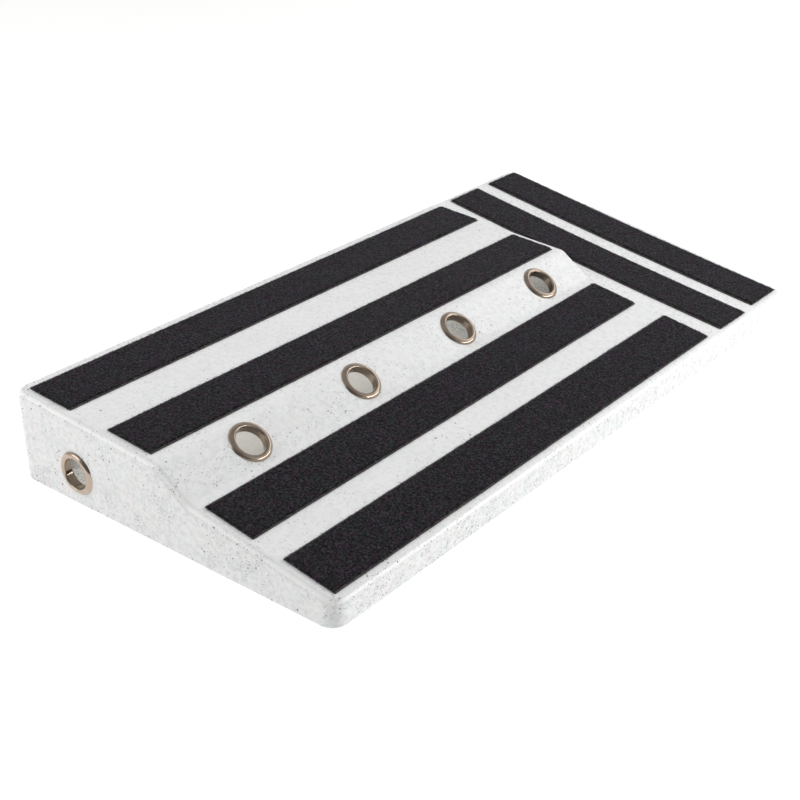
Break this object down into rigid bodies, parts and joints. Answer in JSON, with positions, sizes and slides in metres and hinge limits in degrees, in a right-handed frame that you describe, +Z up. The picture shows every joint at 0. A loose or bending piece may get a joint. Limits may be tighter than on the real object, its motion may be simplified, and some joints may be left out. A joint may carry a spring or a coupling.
{
  "type": "pedalboard",
  "caption": "Two-tier wedge pedalboard: hollow speckled plastic shell with loop tape strips on its decks and metal cable eyelets in its riser and left end.",
  "frame": {"origin": "middle of the overall footprint, on the surface that the feet stand on", "axes": "+X runs right along the front edge, +Y to the rear, +Z up"},
  "size_m": [0.7136, 0.352, 0.0886],
  "materials": {
    "shell_plastic": "satin moulded, near-white with fine grey granite specks",
    "panel_plastic": "satin sheet, near-white with fine grey granite specks",
    "loop_tape": "black napped loop pile",
    "eyelet_nickel": "warm nickel plate, semi-bright",
    "washer_steel": "plain zinc plate",
    "screw_steel": "zinc plated",
    "foot_rubber": "matte black"
  },
  "bodies": {
    "root": {"shell": "shell_plastic", "bottom_panel": "panel_plastic", "panel_screws": "screw_steel", "foot_screws": "screw_steel", "foot_washers": "washer_steel", "foot_front_left": "foot_rubber", "foot_rear_left": "foot_rubber", "foot_front_middle": "foot_rubber", "foot_rear_middle": "foot_rubber", "foot_front_right": "foot_rubber", "foot_rear_right": "foot_rubber", "eyelet_riser_1": "eyelet_nickel", "eyelet_riser_2": "eyelet_nickel", "eyelet_riser_3": "eyelet_nickel", "eyelet_riser_4": "eyelet_nickel", "eyelet_end": "eyelet_nickel", "eyelet_washer_riser_1": "washer_steel", "eyelet_washer_riser_2": "washer_steel", "eyelet_washer_riser_3": "washer_steel", "eyelet_washer_riser_4": "washer_steel", "eyelet_washer_end": "washer_steel", "loop_strip_upper_rear": "loop_tape", "loop_strip_upper_front": "loop_tape", "loop_strip_lower_rear": "loop_tape", "loop_strip_lower_front": "loop_tape", "loop_strip_cross_inner": "loop_tape", "loop_strip_cross_outer": "loop_tape"}
  },
  "joints": []
}
